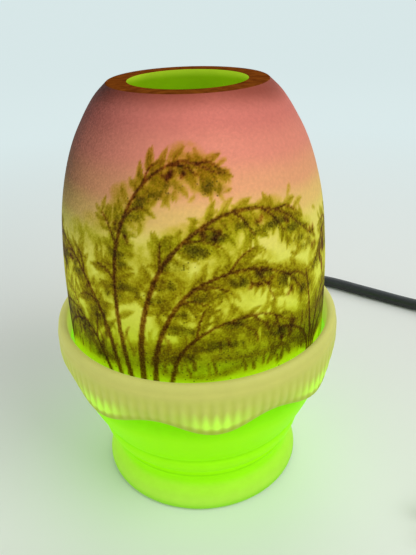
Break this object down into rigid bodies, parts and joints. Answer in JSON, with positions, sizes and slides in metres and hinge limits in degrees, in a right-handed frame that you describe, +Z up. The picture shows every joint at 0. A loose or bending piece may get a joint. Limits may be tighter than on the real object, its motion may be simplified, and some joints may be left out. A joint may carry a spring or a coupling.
{
  "type": "fairy lamp",
  "caption": "Small electric fairy lamp: open-topped glass dome resting in a ribbed, scalloped glass base, with a screw-in bulb, a corded rocker switch and a plug.",
  "frame": {"origin": "middle of the underside of the felt ring that the lamp stands on", "axes": "+Z up the lamp's axis of revolution; -Y is the front, where the picture is taken from; the cord leaves along +Y and lies out to +X"},
  "size_m": [0.3063, 0.2268, 0.165],
  "materials": {
    "shade_glass": "satin opal glass with hand-painted decoration, rose above to yellow-green below",
    "base_glass": "satin opal glass, lime green",
    "felt": "dark green felt",
    "brass": "lacquered brass",
    "steel": "zinc plated",
    "washer_rubber": "black rubber",
    "socket_phenolic": "dark brown phenolic",
    "wire_black": "insulation",
    "wire_white": "insulation",
    "bulb_glass": "clear bulb glass",
    "stem_glass": "clear glass",
    "filament": "tungsten wire, glowing when lit",
    "boot_rubber": "black moulded rubber",
    "cord_black": "smooth black round flex",
    "switch_plastic": "fine-textured black plastic",
    "rocker_plastic": "smooth black plastic",
    "plug_plastic": "moulded black plastic",
    "tie": "black hook-and-loop tie"
  },
  "bodies": {
    "base": {"base_glass": "base_glass", "felt_ring": "felt", "threaded_nipple": "brass", "upper_check_plate": "brass", "lower_check_plate": "brass", "upper_rubber_washer": "washer_rubber", "lower_rubber_washer": "washer_rubber", "lock_washer": "steel", "upper_nut": "steel", "lower_nut": "steel", "socket_cup": "brass", "socket_body": "socket_phenolic", "screw_shell": "brass", "centre_contact": "brass", "terminal_screw_line": "brass", "terminal_screw_neutral": "steel", "wire_line": "wire_black", "wire_neutral": "wire_white", "cord_boot": "boot_rubber", "cord_stop": "switch_plastic", "cord_tail": "cord_black", "cord_run": "cord_black", "cord_run_2": "cord_black", "cord_coil": "cord_black", "cord_plug_lead": "cord_black", "coil_tie": "tie", "switch_lower_housing": "switch_plastic", "switch_upper_housing": "switch_plastic", "switch_pin": "steel", "switch_strip_in": "brass", "switch_strip_out": "brass", "switch_screw_in": "steel", "switch_screw_out": "steel", "plug_body": "plug_plastic", "plug_blade_left": "brass", "plug_blade_right": "brass"},
    "shade": {"shade": "shade_glass"},
    "bulb": {"bulb_envelope": "bulb_glass", "bulb_cap": "brass", "bulb_tip_contact": "steel", "bulb_stem": "stem_glass", "bulb_filament": "filament"},
    "rocker": {"switch_rocker": "rocker_plastic"}
  },
  "joints": [
    {"name": "shade_lift", "type": "slide", "parent": "base", "child": "shade", "axis": [0, 0, 1], "range_m": [0, 0.11]},
    {"name": "bulb_unscrew", "type": "hinge", "parent": "base", "child": "bulb", "pos_m": [0, 0, 0.057], "axis": [0, 0, 1], "range_deg": [0, 1440]},
    {"name": "rocker_tilt", "type": "hinge", "parent": "base", "child": "rocker", "pos_m": [0.19908, 0.06408, 0.0141], "axis": [0.5878, 0.809, 0], "range_deg": [0, 22]}
  ]
}
